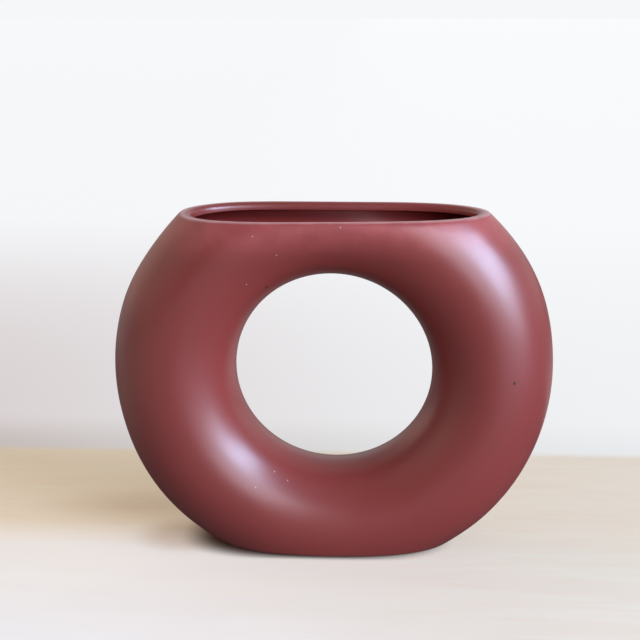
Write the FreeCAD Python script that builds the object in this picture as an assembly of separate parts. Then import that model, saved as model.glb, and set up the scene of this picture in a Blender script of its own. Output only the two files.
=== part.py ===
"""A donut vase: a hollow stoneware ring that stands on a flat foot and is open along its top.

The ring is slip-cast in one piece, so it has no joins. What the finished vase has is three fired
layers, and each is a node: the clay body, the matt colour glaze outside, and the glaze that lines
the inside and makes it hold water. The frame is in millimetres: X across the vase, Y from front
to back, Z up, and the origin is on the table under the middle of the foot.
"""

import FreeCAD
import Part

import math
import os

from FreeCAD import Rotation, Vector

# The finished vase
RING_RADIUS = 53.0  # from the middle of the hole to the middle of the tube
TUBE_RADIUS = 20.0  # half of the vase's depth
HOLE_HEIGHT = 61.0  # from the table to the middle of the hole
VASE_HEIGHT = 114.0

# The wall, from the outside of the colour glaze to the inside of the lining
WALL = 3.0
COLOUR_GLAZE = 0.3
LINING = 0.25

# The mouth: a level rim, whose lip stands in past the wall
LIP_WIDTH = 3.8
LIP_DEPTH = 2.3
RIM_OUTER_ROUND = 1.3
RIM_INNER_ROUND = 1.8

# The foot: a low ring of bare clay, set in from the glazed edge, with a hollow inside it
BASE_ROUND = 2.0
FOOT_HEIGHT = 0.8
FOOT_INSET = 3.0
FOOT_WIDTH = 4.0
FOOT_HOLLOW = 1.2
FLOOR = 3.0  # clay and lining above the hollow
FLOOR_ROUND = 4.0  # inside, where the wall meets the floor

# The tube's section is two arcs, because only the outer one meets the mouth and the foot
HOLE_SIDE_ANGLE = 60.0  # from the section's point nearest the hole to where the arcs join

OUTLINE_POINTS = 24  # on the outline of a plug
MARGIN = 1.0  # how far a tool runs past what it cuts
REACH = 4.0 * RING_RADIUS  # wider than the vase
LEVEL_ERROR = 1e-4


def section_point(tube_radius, angle):
    """A point of the tube's section, at an angle from the point nearest the hole."""
    spoke = Rotation(Vector(0, 0, 1), angle).multVec(Vector(-tube_radius, 0, 0))
    return Vector(RING_RADIUS, 0, 0) + spoke


def level_slab(bottom, top):
    """All that is between two heights above the table."""
    corner = Vector(-REACH / 2, -REACH / 2, bottom)
    return Part.makeBox(REACH, REACH, top - bottom, corner)


def ring(tube_radius, bottom, top):
    """The tube swept round the hole and cut level at two heights above the table."""
    join = HOLE_SIDE_ANGLE
    hole_side = Part.Arc(*[section_point(tube_radius, angle) for angle in (-join, 0, join)])
    outer_side = Part.Arc(*[section_point(tube_radius, angle) for angle in (join, 180, 360 - join)])
    section = Part.Face(Part.Wire([hole_side.toShape(), outer_side.toShape()]))
    tube = section.revolve(Vector(0, 0, 0), Vector(0, 1, 0), 360)
    tube.translate(Vector(0, 0, HOLE_HEIGHT))
    return tube.common(level_slab(bottom, top))


def outline_point(height, turn, inset):
    """A point at a steady distance inside the outline of the vase's level section.

    A level section of a ring has a flat-sided oval outline. The point's place along it is given
    by turn, which goes from 0 at the vase's right end once round to 2 pi.
    """
    level = height - HOLE_HEIGHT
    half_length = math.sqrt((RING_RADIUS + TUBE_RADIUS) ** 2 - level**2)
    x = half_length * math.cos(turn)
    spoke = math.hypot(x, level)
    half_depth = math.sqrt(max(TUBE_RADIUS**2 - (spoke - RING_RADIUS) ** 2, 0.0))
    y = math.copysign(half_depth, math.sin(turn))
    outward = Vector(x * (1 - RING_RADIUS / spoke), y, 0).normalize()
    return Vector(x, y, 0) - outward * inset


def plug(height, inset, bottom, top):
    """An upright plug a steady distance inside the vase's outline at one height."""
    turns = [2 * math.pi * i / OUTLINE_POINTS for i in range(OUTLINE_POINTS)]
    outline = Part.BSplineCurve()
    points = [outline_point(height, turn, inset) for turn in turns]
    outline.interpolate(Points=points, PeriodicFlag=True)
    face = Part.Face(Part.Wire([outline.toShape()]))
    face.translate(Vector(0, 0, bottom))
    return face.extrude(Vector(0, 0, top - bottom))


def level_edges(solid, height, box=None):
    """The edges that lie level at one height, or those of them in a box."""
    found = []
    for edge in solid.Edges:
        extent = edge.BoundBox
        furthest = max(abs(extent.ZMin - height), abs(extent.ZMax - height))
        if furthest < LEVEL_ERROR and (box is None or box.isInside(extent)):
            found.append(edge)
    return found


def solid_vase(coat):
    """The vase under a coat of colour glaze, with its mouth cut but without its foot or hollow."""
    bottom = FOOT_HEIGHT - coat
    top = VASE_HEIGHT - COLOUR_GLAZE + coat
    vase = ring(TUBE_RADIUS - COLOUR_GLAZE + coat, bottom, top)
    vase = vase.makeFillet(BASE_ROUND + coat, level_edges(vase, bottom))
    outer_round = RIM_OUTER_ROUND - COLOUR_GLAZE + coat
    vase = vase.makeFillet(outer_round, level_edges(vase, top))
    lip_width = LIP_WIDTH - COLOUR_GLAZE + coat
    mouth = plug(VASE_HEIGHT, lip_width, top - LIP_DEPTH - MARGIN, top + MARGIN)
    vase = vase.cut(mouth)
    near_mouth = mouth.BoundBox
    near_mouth.enlarge(MARGIN)
    inner_round = RIM_INNER_ROUND - COLOUR_GLAZE + coat
    return vase.makeFillet(inner_round, level_edges(vase, top, near_mouth))


def cavity(lining):
    """The hollow inside the vase, narrowed by a lining."""
    wall = WALL - LINING + lining
    floor = FOOT_HOLLOW + FLOOR - LINING + lining
    under_lip = VASE_HEIGHT - LIP_DEPTH + LINING - lining
    hollow = ring(TUBE_RADIUS - wall, floor, under_lip)
    return hollow.makeFillet(FLOOR_ROUND - lining, level_edges(hollow, floor))


def clay_body():
    """The cast and fired clay: the wall, the lip and the foot ring in one."""
    foot = plug(0.0, FOOT_INSET, 0.0, FOOT_HEIGHT + FLOOR / 2)
    hollow = plug(0.0, FOOT_INSET + FOOT_WIDTH, -MARGIN, FOOT_HOLLOW)
    return solid_vase(0.0).cut(cavity(0.0)).fuse(foot).cut(hollow)


def outer_glaze():
    """The coat from the foot ring up over the rim and down the inside of the lip."""
    clay = solid_vase(0.0).cut(cavity(0.0))
    foot = plug(0.0, FOOT_INSET, -MARGIN, FOOT_HEIGHT + MARGIN)
    return solid_vase(COLOUR_GLAZE).cut(cavity(0.0)).cut(clay).cut(foot)


def inner_glaze():
    """The lining, from the lower edge of the lip down over the wall and the floor."""
    under_lip = VASE_HEIGHT - LIP_DEPTH
    mouth = plug(VASE_HEIGHT, LIP_WIDTH, under_lip - MARGIN, VASE_HEIGHT + MARGIN)
    return cavity(0.0).cut(cavity(LINING)).cut(mouth)


NODES = {
    "clay_body": clay_body,
    "outer_glaze": outer_glaze,
    "inner_glaze": inner_glaze,
}

os.makedirs("parts", exist_ok=True)
for name, build in NODES.items():
    piece = build()
    if not piece.isValid() or len(piece.Solids) != 1:
        raise ValueError(f"{name} isn't one valid solid")
    piece.Solids[0].exportStep(f"parts/{name}.step")
    print(f"{name}: {piece.Volume:.0f} cubic mm, {len(piece.Faces)} faces")
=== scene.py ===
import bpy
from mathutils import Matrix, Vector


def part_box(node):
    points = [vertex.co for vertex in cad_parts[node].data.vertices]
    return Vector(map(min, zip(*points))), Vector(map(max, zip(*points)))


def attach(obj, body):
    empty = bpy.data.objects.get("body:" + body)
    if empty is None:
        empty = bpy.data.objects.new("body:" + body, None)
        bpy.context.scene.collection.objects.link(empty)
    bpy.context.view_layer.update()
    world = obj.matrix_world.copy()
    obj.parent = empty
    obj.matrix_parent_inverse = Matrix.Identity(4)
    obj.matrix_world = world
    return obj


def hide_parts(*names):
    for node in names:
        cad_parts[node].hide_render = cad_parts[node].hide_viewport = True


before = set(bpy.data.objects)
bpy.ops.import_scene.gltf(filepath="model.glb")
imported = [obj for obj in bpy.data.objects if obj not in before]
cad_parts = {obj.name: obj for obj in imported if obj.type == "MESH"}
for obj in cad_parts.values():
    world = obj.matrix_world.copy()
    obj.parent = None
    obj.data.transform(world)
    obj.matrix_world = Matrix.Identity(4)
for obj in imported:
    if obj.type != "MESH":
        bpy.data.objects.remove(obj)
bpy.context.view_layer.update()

import math

import bmesh
import bpy
from mathutils import Vector


# Glazed ring. The colour glaze is a thin skin on the cast clay. It covers the whole ring, rolls
# over the rim and down the inside of the lip, and stops under the base at the bare foot ring. The
# skin starts as a torus whose top and base are cut away, and the rim is drawn out from the cuts.
RING_RADIUS = 0.053  # in metres, as every size here is
TUBE_RADIUS = 0.020
HOLE_HEIGHT = 0.061
VASE_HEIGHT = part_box("outer_glaze")[1].z
GLAZE_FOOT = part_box("outer_glaze")[0].z
GLAZE_THICKNESS = 0.0003
RIM_DROP = 0.0032  # from the rim down to the torus's cut
RIM_ROUND = 0.0017
LIP_WIDTH = 0.0038
LIP_DEPTH = 0.0026
LIP_ROUND = 0.0018
LIP_EDGE_ROUND = 0.0003
BASE_DROP = 0.0013  # from the torus's cut down to the base
FOOT_INSET = 0.0030
STEPS_ALONG = 216
STEPS_AROUND = 96
ROUND_STEPS = 8
SEARCH_STEPS = 8
SMOOTH_BELOW = 50  # degrees


def deselect():
    bpy.ops.object.select_all(action="DESELECT")


def new_ring(name, tube_radius):
    """A fine torus that stands on edge round the vase's hole, left in edit mode."""
    deselect()
    bpy.ops.mesh.primitive_torus_add(
        major_segments=STEPS_ALONG,
        minor_segments=STEPS_AROUND,
        major_radius=RING_RADIUS,
        minor_radius=tube_radius,
        location=(0, 0, HOLE_HEIGHT),
        rotation=(math.pi / 2, 0, 0),
    )
    piece = bpy.context.object
    piece.name = name
    piece.data.name = name
    bpy.ops.object.transform_apply(location=True, rotation=True, scale=True)
    bpy.ops.object.mode_set(mode="EDIT")
    bpy.ops.mesh.select_mode(type="EDGE")
    return piece


def cut_level(height, keep_below):
    """Cuts the ring level and leaves the edges of the cut selected."""
    bpy.ops.mesh.select_all(action="SELECT")
    bpy.ops.mesh.bisect(
        plane_co=(0, 0, height),
        plane_no=(0, 0, 1),
        clear_outer=keep_below,
        clear_inner=not keep_below,
    )


def outline_corner(start, tube_radius, height):
    """From a point on the tube, the point straight out or in from it on the level outline."""
    level = height - HOLE_HEIGHT
    corner = Vector((start.x, start.y, height))
    for _ in range(SEARCH_STEPS):
        spoke = math.hypot(corner.x, level)
        slope = Vector((corner.x * (1 - RING_RADIUS / spoke), corner.y, 0))
        miss = (spoke - RING_RADIUS) ** 2 + corner.y**2 - tube_radius**2
        corner -= slope * (miss / (2 * slope.length_squared))
    return corner, -slope.normalized()


def mark_corners(piece, tube_radius, height):
    """Gives each selected point its corner on the outline, and the way in from there."""
    mesh = bmesh.from_edit_mesh(piece.data)
    vectors = mesh.verts.layers.float_vector
    corner_of, inward_of, wall_of = (
        vectors.get(name) or vectors.new(name) for name in ("corner", "inward", "wall")
    )
    for point in mesh.verts:
        if point.select:
            corner, inward = outline_corner(point.co, tube_radius, height)
            point[corner_of] = corner
            point[inward_of] = inward
            point[wall_of] = point.co - corner
    bmesh.update_edit_mesh(piece.data)


def draw_out(piece, stations):
    """Extrudes the selected edge loop through stations, which say where each point goes."""
    for station in stations:
        bpy.ops.mesh.extrude_edges_move()
        mesh = bmesh.from_edit_mesh(piece.data)
        vectors = mesh.verts.layers.float_vector
        marks = [vectors[name] for name in ("corner", "inward", "wall")]
        for point in mesh.verts:
            if point.select:
                point.co = station(*[Vector(point[mark]) for mark in marks])
        bmesh.update_edit_mesh(piece.data)


def edge_round(along, width=None):
    """Part of the way round a corner, from the wall to the level face. Tighter where it slopes."""

    def station(corner, inward, wall):
        bend = 2.0 + 2.0 * math.hypot(wall.x, wall.y) / abs(wall.z)
        reach = width or wall.length
        return corner + wall * (1 - along) ** bend + inward * (reach * along**bend)

    return station


def inset(distance, drop=0.0):
    """A steady distance in from the outline, and below it."""
    return lambda corner, inward, wall: corner + inward * distance + Vector((0, 0, -drop))


steps = [step / ROUND_STEPS for step in range(1, ROUND_STEPS + 1)]
rim_profile = [edge_round(along, RIM_ROUND) for along in steps]
rim_profile.append(inset(LIP_WIDTH - LIP_ROUND))
for along in steps:
    rim_profile.append(inset(LIP_WIDTH - LIP_ROUND * (1 - along) ** 2, LIP_ROUND * along**2))
for along in [0] + steps:
    distance = LIP_WIDTH - LIP_EDGE_ROUND * along**2
    rim_profile.append(inset(distance, LIP_DEPTH - LIP_EDGE_ROUND * (1 - along) ** 2))

glazed_ring = new_ring("glazed_ring", TUBE_RADIUS)
cut_level(VASE_HEIGHT - RIM_DROP, keep_below=True)
mark_corners(glazed_ring, TUBE_RADIUS, VASE_HEIGHT)
draw_out(glazed_ring, rim_profile)
cut_level(GLAZE_FOOT + BASE_DROP, keep_below=False)
mark_corners(glazed_ring, TUBE_RADIUS, GLAZE_FOOT)
draw_out(glazed_ring, [edge_round(along) for along in steps] + [inset(FOOT_INSET)])
bpy.ops.object.mode_set(mode="OBJECT")


def thicken(piece, thickness, outward):
    """Gives a skin its thickness and shades it smooth."""
    skin = piece.modifiers.new("thickness", "SOLIDIFY")
    skin.thickness = thickness
    skin.offset = 1.0 if outward else -1.0
    skin.use_even_offset = True
    deselect()
    piece.select_set(True)
    bpy.context.view_layer.objects.active = piece
    bpy.ops.object.modifier_apply(modifier=skin.name)
    bpy.ops.object.shade_smooth_by_angle(angle=math.radians(SMOOTH_BELOW))


def ease(value, start, end):
    """Goes smoothly from 0 to 1 as the value goes from start to end."""
    part = min(max((value - start) / (end - start), 0.0), 1.0)
    return part * part * (3 - 2 * part)


# How far the soft clay moved from a true ring, away from the middle of the hole. Round the hole it
# moved in waves, given as a count with its cosine and sine parts. Round the outside it swelled or
# sank at angles in degrees, each with its spread and height. The front of the rim sagged too.
HOLE_WAVES = [
    (0, -0.00012, 0),
    (1, 0.00030, -0.00014),
    (2, 0, -0.00030),
    (3, 0.00006, -0.00008),
]
SWELLINGS = [(25, 22, 0.00055), (142, 21, -0.00070), (-145, 26, 0.00045), (-40, 26, 0.00020)]
HOLE_TO_OUTSIDE = (0.036, 0.060)  # distances over which the waves give way to the swellings
ABOVE_BASE = (0.002, 0.010)  # heights over which both come in
FRONT_SAG = 0.0010
SAG_LEFTWARD = (-0.045, 0.060)  # places over which the sag comes in
SAG_FORWARD = (-0.010, 0.016)
SAG_UPWARD = (0.085, 0.112)


def settle(piece):
    """Moves a piece's points as the soft clay settled. All the layers settle alike."""
    for point in piece.data.vertices:
        x, y, level = point.co.x, point.co.y, point.co.z - HOLE_HEIGHT
        spoke = math.hypot(x, level)
        turn = math.atan2(level, x)
        outer_side = ease(spoke, *HOLE_TO_OUTSIDE)
        shift = 0.0
        for wave, cosine, sine in HOLE_WAVES:
            along = cosine * math.cos(wave * turn) + sine * math.sin(wave * turn)
            shift += (1 - outer_side) * along
        for angle, spread, height in SWELLINGS:
            away = abs((math.degrees(turn) - angle + 180) % 360 - 180)
            shift += outer_side * height * (1 - ease(away, 0, spread))
        shift *= ease(point.co.z, *ABOVE_BASE)
        front = ease(-x, *SAG_LEFTWARD) * ease(-y, *SAG_FORWARD)
        sag = FRONT_SAG * front * ease(point.co.z, *SAG_UPWARD)
        point.co += Vector((x, 0, level)) * (shift / spoke) - Vector((0, 0, sag))


# The glaze drew back a little from the rim as it melted, so it is thin and pale there, and almost
# bare on the edge itself. Part of the paleness is painted light: a painted sheen in the band below
# the rim, and a painted highlight along the crest. Each pale area fades out over a range of
# distances in from the outline, and comes in over a range of heights.
PALE_AREAS = [
    ("thin_glaze_and_sheen", (0.0020, 0.0034), (0.1005, 0.1125)),
    ("bare_edge_and_highlight", (0.0014, 0.0022), (0.1135, 0.1140)),
]
for name, distances, heights in PALE_AREAS:
    paleness = glazed_ring.data.attributes.new(name, "FLOAT", "POINT").data
    for point in glazed_ring.data.vertices:
        outline, inward = outline_corner(point.co, TUBE_RADIUS, VASE_HEIGHT)
        near_outline = 1 - ease((point.co - outline).dot(inward), *distances)
        paleness[point.index].value = near_outline * ease(point.co.z, *heights)

thicken(glazed_ring, GLAZE_THICKNESS, outward=False)
settle(glazed_ring)
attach(glazed_ring, "root")
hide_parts("outer_glaze")


class Socket:
    """An output of a material's or the world's node. Sums and products add their Math nodes."""

    def __init__(self, tree, output):
        self.tree = tree
        self.output = output

    def node(self, kind, settings, inputs, output=0):
        """Adds a node. Its settings are set first, and then its inputs get values or links."""
        node = self.tree.nodes.new(kind)
        for name, setting in settings.items():
            setattr(node, name, setting)
        for name, value in inputs.items():
            if isinstance(value, Socket):
                self.tree.links.new(value.output, node.inputs[name])
            else:
                node.inputs[name].default_value = value
        return Socket(self.tree, node.outputs[output])

    def maths(self, operation, first, second):
        return self.node("ShaderNodeMath", {"operation": operation}, {0: first, 1: second})

    def __add__(self, other):
        return self.maths("ADD", self, other)

    def __sub__(self, other):
        return self.maths("SUBTRACT", self, other)

    def __mul__(self, other):
        return self.maths("MULTIPLY", self, other)

    def __radd__(self, other):
        return self.maths("ADD", other, self)

    def __rsub__(self, other):
        return self.maths("SUBTRACT", other, self)

    def __rmul__(self, other):
        return self.maths("MULTIPLY", other, self)

    def axis(self, name):
        """One coordinate of a place or a direction."""
        return self.node("ShaderNodeSeparateXYZ", {}, {"Vector": self}, output=name)

    def attribute(self, name):
        """A value that the mesh holds at each of its points."""
        return self.node("ShaderNodeAttribute", {"attribute_name": name}, {}, output="Fac")

    def noise(self, size, detail=2.0):
        """Cloudy noise between 0 and 1, whose clouds are about as wide as size."""
        inputs = {"Vector": self, "Scale": 1 / size, "Detail": detail}
        return self.node("ShaderNodeTexNoise", {}, inputs)

    def ease(self, start, end):
        """Goes smoothly from 0 to 1 as the value goes from start to end."""
        inputs = {"Value": self, "From Min": start, "From Max": end}
        return self.node("ShaderNodeMapRange", {"interpolation_type": "SMOOTHSTEP"}, inputs)

    def mix(self, colour, other_colour):
        """One colour where the value is 0 and another where it is 1."""
        inputs = {"Factor": self, 6: colour, 7: other_colour}
        return self.node("ShaderNodeMix", {"data_type": "RGBA"}, inputs, output=2)

    def bumps(self, strength, depth):
        """A surface that the value raises."""
        inputs = {"Strength": strength, "Distance": depth, "Height": self}
        return self.node("ShaderNodeBump", {}, inputs)


def new_finish(name):
    """A new material, its shader, and its place on the object."""
    material = bpy.data.materials.new(name)
    material.use_nodes = True
    tree = material.node_tree
    place = Socket(tree, tree.nodes.new("ShaderNodeTexCoord").outputs["Object"])
    return material, tree.nodes["Principled BSDF"], place


def link(value, shader, name):
    value.tree.links.new(value.output, shader.inputs[name])


def spots(place, centres, radius):
    """1 within a few small round spots and 0 elsewhere."""
    total = 0.0
    for centre in centres:
        ends = {0: place, 1: centre}
        distance = place.node("ShaderNodeVectorMath", {"operation": "DISTANCE"}, ends, "Value")
        total = total + (1 - distance.ease(0.5 * radius, radius))
    return total


THIN_BURGUNDY = (0.306, 0.053, 0.043, 1)
THICK_BURGUNDY = (0.286, 0.049, 0.040, 1)
CLOUD_SIZE = 0.045
# The rim's paler colours: thin glaze, partly painted sheen below the rim and a painted highlight
# on the crest.
RIM_BURGUNDY = (0.500, 0.108, 0.098, 1)
RIM_COVER = 0.8
EDGE_HIGHLIGHT_PINK = (0.72, 0.34, 0.31, 1)
PATCH_SIZE = 0.006
SPECK_WHITE = (0.66, 0.46, 0.44, 1)
SPECK_RADIUS = 0.00030
PALE_SPECKS = [
    (-0.02434, -0.01991, 0.10928),
    (-0.01708, -0.01873, 0.10311),
    (-0.02677, -0.01686, 0.09332),
    (0.00276, -0.01968, 0.11225),
    (-0.01892, -0.01308, 0.02859),
    (-0.01457, -0.01372, 0.02572),
    (-0.02486, -0.01792, 0.02487),
]
PIT_BROWN = (0.030, 0.008, 0.007, 1)
PIT_RADIUS = 0.00065
DARK_PITS = [(0.05810, -0.01933, 0.06247), (-0.02092, -0.01185, 0.09119)]
SHEEN_SIZE = 0.010  # of the areas that are a little rougher or smoother
SHEEN_RANGE = 0.04
DIMPLE_SIZE = 0.0016
FINE_DIMPLE_SIZE = 0.0005
FINE_DIMPLE_SHARE = 0.4
DIMPLE_DEPTH = 0.00004
DIMPLE_STRENGTH = 0.25


def glaze_finish(name, lighter_colour, deeper_colour, roughness, gloss=1.0, shaded_above=None):
    """The burgundy glaze: deeper in colour where it is thicker, paler at the rim with a painted
    sheen and crest highlight, and finely dimpled. Given heights to shade above, the deeper colour
    is instead painted shade that comes in towards the top.
    """
    material, shader, place = new_finish(name)
    lighter_share = place.noise(CLOUD_SIZE).ease(0.35, 0.65)
    # For the lining, the colour is painted darker towards the top: painted shade under the lip.
    if shaded_above:
        lighter_share = 1 - place.axis("Z").ease(*shaded_above)
    # Paler at the rim where the glaze is thin, with a painted sheen there and a painted highlight
    # on the crest.
    rim, edge = place.attribute("thin_glaze_and_sheen"), place.attribute("bare_edge_and_highlight")
    patches = 0.75 + 0.5 * place.noise(PATCH_SIZE).ease(0.3, 0.7)
    colour = (rim * patches * RIM_COVER).mix(lighter_share.mix(deeper_colour, lighter_colour), RIM_BURGUNDY)
    colour = (edge * patches).mix(colour, EDGE_HIGHLIGHT_PINK)
    colour = spots(place, PALE_SPECKS, SPECK_RADIUS).mix(colour, SPECK_WHITE)
    link(spots(place, DARK_PITS, PIT_RADIUS).mix(colour, PIT_BROWN), shader, "Base Color")
    sheen = place.noise(SHEEN_SIZE) * SHEEN_RANGE + (roughness - SHEEN_RANGE / 2)
    link(sheen, shader, "Roughness")
    dimples = place.noise(DIMPLE_SIZE) + FINE_DIMPLE_SHARE * place.noise(FINE_DIMPLE_SIZE)
    link(dimples.bumps(DIMPLE_STRENGTH, DIMPLE_DEPTH), shader, "Normal")
    shader.inputs["Specular IOR Level"].default_value = gloss
    return material


glazed_ring.data.materials.append(
    glaze_finish("matt burgundy glaze", THIN_BURGUNDY, THICK_BURGUNDY, roughness=0.35)
)


# Lining. A glossier coat of the same glaze was poured in and out again, and keeps the water in. It
# runs from the lower edge of the lip along the lip's underside, down the wall and over the floor.
LINING_RADIUS = 0.0170
LINING_THICKNESS = 0.00025
LINING_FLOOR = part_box("inner_glaze")[0].z + LINING_THICKNESS
FLOOR_DROP = 0.0030  # from the torus's cut down to the floor

lining = new_ring("lining", LINING_RADIUS)
cut_level(VASE_HEIGHT - LIP_DEPTH, keep_below=True)
mark_corners(lining, TUBE_RADIUS, VASE_HEIGHT)
draw_out(lining, [inset(LIP_WIDTH - LIP_EDGE_ROUND, LIP_DEPTH)])
cut_level(LINING_FLOOR + FLOOR_DROP, keep_below=False)
mark_corners(lining, LINING_RADIUS, LINING_FLOOR)
draw_out(lining, [edge_round(along) for along in steps])
bpy.ops.mesh.edge_face_add()
bpy.ops.object.mode_set(mode="OBJECT")
thicken(lining, LINING_THICKNESS, outward=True)
settle(lining)
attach(lining, "root")
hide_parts("inner_glaze")
# The lining is painted darker towards the lip, as painted shade under the lip's overhang.
lining.data.materials.append(
    glaze_finish(
        "burgundy lining",
        lighter_colour=(0.32, 0.046, 0.040, 1),
        deeper_colour=(0.12, 0.013, 0.011, 1),
        roughness=0.30,
        gloss=0.6,
        shaded_above=(0.1064, 0.1098),
    )
)


# Clay body. Cast stoneware, whose foot ring is left bare so that it doesn't stick in the kiln. It
# is a merged copy of the CAD solid that has settled with the glaze, and whose rim is sponged a
# little lower, so that the glaze covers it.
MERGE_DISTANCE = 1e-6
SPONGED = 0.0004
SPONGED_ABOVE = 0.108
CLAY_SMOOTH_BELOW = 30  # degrees
DARK_CLAY = (0.62, 0.53, 0.43, 1)
PALE_CLAY = (0.70, 0.61, 0.50, 1)
CLAY_CLOUD_SIZE = 0.012
CLAY_ROUGHNESS = 0.78
GRAIN_ROUGHNESS = 0.12  # that the coarsest grains add
GRAIN_SIZE = 0.0006
GRAIN_DEPTH = 0.00008
GRAIN_STRENGTH = 0.6

deselect()
clay_ring = bpy.data.objects.new("clay_ring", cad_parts["clay_body"].data.copy())
clay_ring.data.name = "clay_ring"
bpy.context.scene.collection.objects.link(clay_ring)
clay_ring.select_set(True)
bpy.context.view_layer.objects.active = clay_ring
bpy.ops.object.mode_set(mode="EDIT")
bpy.ops.mesh.select_all(action="SELECT")
bpy.ops.mesh.remove_doubles(threshold=MERGE_DISTANCE)
bpy.ops.object.mode_set(mode="OBJECT")
# The copy's own corner normals don't fit its merged points.
bpy.ops.mesh.customdata_custom_splitnormals_clear()
for point in clay_ring.data.vertices:
    point.co.z -= SPONGED * ease(point.co.z, SPONGED_ABOVE, VASE_HEIGHT - GLAZE_THICKNESS)
settle(clay_ring)
bpy.ops.object.shade_smooth_by_angle(angle=math.radians(CLAY_SMOOTH_BELOW))
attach(clay_ring, "root")
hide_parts("clay_body")

stoneware, shader, place = new_finish("bare stoneware")
grain = place.noise(GRAIN_SIZE, detail=4.0)
tone = place.noise(CLAY_CLOUD_SIZE).ease(0.3, 0.7)
link(tone.mix(DARK_CLAY, PALE_CLAY), shader, "Base Color")
link(CLAY_ROUGHNESS + GRAIN_ROUGHNESS * grain.ease(0.62, 0.70), shader, "Roughness")
link(grain.bumps(GRAIN_STRENGTH, GRAIN_DEPTH), shader, "Normal")
clay_ring.data.materials.clear()
clay_ring.data.materials.append(stoneware)


# Table and wall. A pale wooden table that the vase stands on, and the white wall close behind it,
# which is the far part of the same plane. What the camera sees is brighter than what lights the
# vase, and what the glaze mirrors has its own brightness.
BLACK = (0, 0, 0, 1)
TABLE_SIZE = 40.0
WALL_FOOT = 0.076
WALL_SOFTNESS = 0.004
# The left colour's beige is partly painted shade of the vase.
LEFT_WOOD_AND_SHADE = (0.84, 0.66, 0.45, 1)
RIGHT_WOOD = (0.76, 0.71, 0.60, 1)
FRONT_WOOD = (0.86, 0.81, 0.73, 1)
GRAIN_BROWN = (0.45, 0.30, 0.18, 1)
WOOD_GRAIN_SIZE = 0.016
WOOD_GRAIN_SHARE = 0.10
FIBRE_SIZE = 0.0030
FIBRE_SHARE = 0.09
STRETCH = (0.10, 1.0, 1.0)  # the grain runs along the table

deselect()
bpy.ops.mesh.primitive_plane_add(size=TABLE_SIZE, location=(0, 0, 0))
table = bpy.context.object
table.name = "table"
wood, shader, place = new_finish("pale table")
across, depth = place.axis("X"), place.axis("Y")
seen = place.node("ShaderNodeLightPath", {}, {}, output="Is Camera Ray")
wall = depth.ease(WALL_FOOT - WALL_SOFTNESS, WALL_FOOT + WALL_SOFTNESS)
right = across.ease(-0.10, 0.10)
front = (0 - depth).ease(0.0, 0.12)
# The wood is beige at the left back, where the colour is partly painted shade of the vase, and
# paler to the right and in front.
tint = front.mix(right.mix(LEFT_WOOD_AND_SHADE, RIGHT_WOOD), FRONT_WOOD)
streaks = place.node("ShaderNodeMapping", {}, {"Vector": place, "Scale": STRETCH})
grain = WOOD_GRAIN_SHARE * streaks.noise(WOOD_GRAIN_SIZE, detail=3.0).ease(0.3, 0.7)
fibres = FIBRE_SHARE * streaks.noise(FIBRE_SIZE, detail=4.0).ease(0.35, 0.75)
planks = (grain + fibres).mix(tint, GRAIN_BROWN)


def oval(centre, reach, squareness=2.0):
    """Distance from a point of the table, counted in reaches, which differ along and across."""
    total = 0.0
    for position, middle, length in zip((across, depth), centre, reach):
        part = position.maths("ABSOLUTE", (position - middle) * (1 / length), 0.0)
        total = total + part.maths("POWER", part, squareness)
    return total.maths("POWER", total, 1 / squareness)


# The painted contact shadow: a dark line where the vase meets the table, sharp in front and soft
# at the ends. The bounce is the table's colour as it lights the vase.
CONTACT_SHADOW_BROWN = (0.27, 0.20, 0.15, 1)
LEFT_BOUNCE = (0.20, 0.19, 0.18, 1)
RIGHT_BOUNCE = (0.12, 0.11, 0.10, 1)
round_foot = oval((-0.0055, 0.0), (0.044, 0.0202), squareness=2.75).ease(0.80, 1.10)
in_front = (0 - depth).ease(0.0180, 0.0207)
off_contact = round_foot + (1 - round_foot) * in_front
planks = off_contact.mix(CONTACT_SHADOW_BROWN, planks)
bounce = across.ease(-0.06, 0.04).mix(LEFT_BOUNCE, RIGHT_BOUNCE)
link(seen.mix(bounce, wall.mix(planks, BLACK)), shader, "Base Color")

# The daylight on the wall, which is dim at its foot and on the left.
DIM_HEIGHT = 0.045
HIGH_ON_WALL = 0.65
DIM_LEFT_FOOT = (0.50, 0.43, 0.40, 1)
LEFT_WALL = (0.66, 0.60, 0.60, 1)
HIGH_LEFT_WALL = (0.90, 0.91, 0.93, 1)
DIM_RIGHT_FOOT = (0.80, 0.82, 0.84, 1)
RIGHT_WALL = (0.86, 0.87, 0.89, 1)
HIGH_RIGHT_WALL = (0.92, 0.93, 0.95, 1)
height = depth.ease(WALL_FOOT, HIGH_ON_WALL)
above_foot = depth.ease(WALL_FOOT, WALL_FOOT + DIM_HEIGHT)
wall_left = height.mix(above_foot.mix(DIM_LEFT_FOOT, LEFT_WALL), HIGH_LEFT_WALL)
wall_right = height.mix(above_foot.mix(DIM_RIGHT_FOOT, RIGHT_WALL), HIGH_RIGHT_WALL)
wall_glow = across.ease(-0.25, 0.15).mix(wall_left, wall_right)

# The daylight on the table, with the vase's soft shades to the left of it.
FAR_LEFT_GLOW = (0.34, 0.31, 0.24, 1)
FAR_RIGHT_GLOW = (0.27, 0.22, 0.14, 1)
NEAR_LEFT_GLOW = (0.38, 0.42, 0.45, 1)
NEAR_RIGHT_GLOW = (0.27, 0.25, 0.19, 1)
SHADED_GLOW = (0.12, 0.08, 0.045, 1)
far_glow = right.mix(FAR_LEFT_GLOW, FAR_RIGHT_GLOW)
near_glow = right.mix(NEAR_LEFT_GLOW, NEAR_RIGHT_GLOW)
open_glow = (0 - depth).ease(-0.012, 0.016).mix(far_glow, near_glow)
close_shade = 0.45 + 0.55 * oval((-0.051, -0.003), (0.022, 0.017)).ease(0.3, 1.0)
far_shade = 0.6 + 0.4 * oval((-0.072, 0.021), (0.048, 0.020)).ease(0.0, 1.0)
table_glow = off_contact.mix(BLACK, (close_shade * far_shade).mix(SHADED_GLOW, open_glow))

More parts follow.
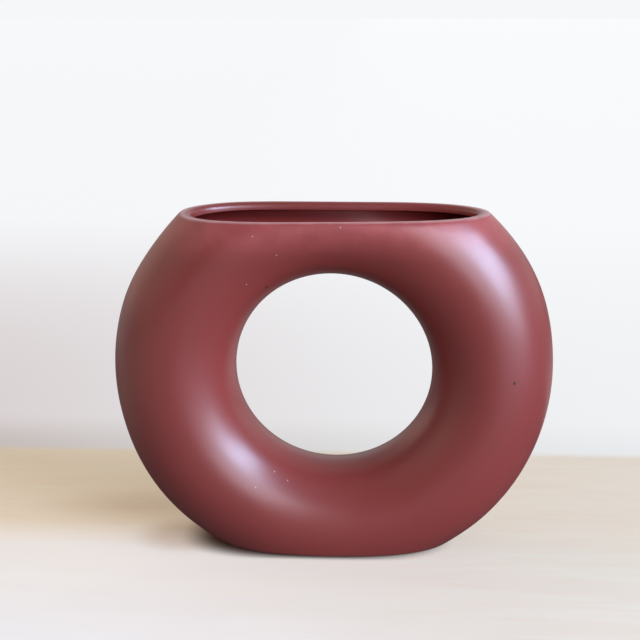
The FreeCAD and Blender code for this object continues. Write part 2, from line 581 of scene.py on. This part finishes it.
# What the glaze mirrors: the table to the left of the vase, and sunlit stretches of the wall.
MIRRORED_TABLE = (0.30, 0.29, 0.25, 1)
MIRRORED_WALL = (0.10, 0.09, 0.09, 1)
MIRRORED_SUN = (0.45, 0.44, 0.44, 1)
leftward = 0 - across
table_left = leftward.ease(0.06, 0.25) * (1 - 0.4 * leftward.ease(0.3, 0.8))
sunlit = across.ease(-0.02, 0.08) * (1 - across.ease(0.20, 0.32)) + 0.7 * leftward.ease(0.20, 0.35)
mirrored_wall = sunlit.mix(MIRRORED_WALL, MIRRORED_SUN)
mirror_glow = wall.mix(table_left.mix(BLACK, MIRRORED_TABLE), mirrored_wall)
mirrored = place.node("ShaderNodeLightPath", {}, {}, output="Is Glossy Ray")
seen_glow = seen.mix(BLACK, wall.mix(table_glow, wall_glow))
link(mirrored.mix(seen_glow, mirror_glow), shader, "Emission Color")
shader.inputs["Emission Strength"].default_value = 1.0
shader.inputs["Roughness"].default_value = 0.8
shader.inputs["Specular IOR Level"].default_value = 0.1
table.data.materials.append(wood)


# Light. A large window to the right of the camera, with the sky's glare in its outer end and a
# warm curtain beside it, and the pale room around, which is dark behind the camera. The camera
# itself sees the room as one even white.
BACK_STRENGTH = 0.50
FAR_BACK_STRENGTH = 0.20
LEFT_STRENGTH = 0.75
RIGHT_STRENGTH = 0.20
CEILING_STRENGTH = 0.12
COOL_WHITE = (0.95, 0.97, 1.0, 1)
WARM_LEFT = (1.0, 0.66, 0.58, 1)
BACKDROP_WHITE = (0.92, 0.93, 0.95, 1)
room = bpy.data.worlds.new("room")
bpy.context.scene.world = room
room.use_nodes = True
nodes = room.node_tree.nodes
seen = Socket(room.node_tree, nodes.new("ShaderNodeLightPath").outputs["Is Camera Ray"])
way = Socket(room.node_tree, nodes.new("ShaderNodeTexCoord").outputs["Generated"])
rightward, backward, upward = (way.axis(name) for name in "XYZ")
leftward = 0 - rightward
strength = (
    BACK_STRENGTH * backward.ease(-0.1, 0.6) * (1 - 0.5 * upward.ease(0.3, 0.8))
    + FAR_BACK_STRENGTH * backward.ease(0.7, 0.95)
    + LEFT_STRENGTH * leftward.ease(0.4, 0.98)
    + CEILING_STRENGTH * upward.ease(0.5, 0.9)
    + RIGHT_STRENGTH * rightward.ease(0.5, 0.9)
)
tone = leftward.ease(0.0, 0.8).mix(COOL_WHITE, WARM_LEFT)
link(seen.mix(tone, BACKDROP_WHITE), nodes["Background"], "Color")
link(strength * (1 - seen) + seen, nodes["Background"], "Strength")


def add_light(name, azimuth, elevation, roll, size, radiance, colour):
    """A rectangular light 1 m from the vase. Angles are in degrees from the camera's side."""
    light = bpy.data.lights.new(name, "AREA")
    light.shape = "RECTANGLE"
    light.size, light.size_y = size
    light.energy = radiance * math.pi * size[0] * size[1]
    light.color = colour
    lamp = bpy.data.objects.new(name, light)
    bpy.context.scene.collection.objects.link(lamp)
    azimuth, elevation = math.radians(azimuth), math.radians(elevation)
    away = Vector((
        math.sin(azimuth) * math.cos(elevation),
        -math.cos(azimuth) * math.cos(elevation),
        math.sin(elevation),
    ))
    lamp.location = Vector((0, 0, HOLE_HEIGHT)) + away
    lamp.rotation_euler = away.to_track_quat("Z", "Y").to_euler()
    lamp.rotation_euler.rotate_axis("Z", math.radians(roll))


add_light("window", 42, 13, 0, size=(1.00, 0.77), radiance=3.30, colour=(0.86, 0.85, 1.0))
add_light("curtain", 17, 10, 0, size=(0.26, 0.70), radiance=1.4, colour=(1.0, 0.84, 0.76))
add_light("window_glare", 57, 23, 30, size=(0.72, 0.27), radiance=14.8, colour=(0.52, 0.68, 1.0))


# Camera, at the photograph's own place: a little above the vase and in front of it. Its angles are
# in radians, and its sensor and lens in millimetres.
CAMERA_PLACE = Vector((0.0099, -0.3648, 0.1772))
CAMERA_PITCH = 0.2669
CAMERA_YAW = -0.0389
SENSOR_WIDTH = 36.0
FOCAL_LENGTH = 64.19
camera = bpy.data.cameras.new("camera")
camera.sensor_width = SENSOR_WIDTH
camera.lens = FOCAL_LENGTH
view = bpy.data.objects.new("camera", camera)
bpy.context.scene.collection.objects.link(view)
view.location = CAMERA_PLACE
view.rotation_euler = (math.pi / 2 - CAMERA_PITCH, 0, -CAMERA_YAW)
bpy.context.scene.camera = view

bpy.context.scene.view_settings.view_transform = "Standard"
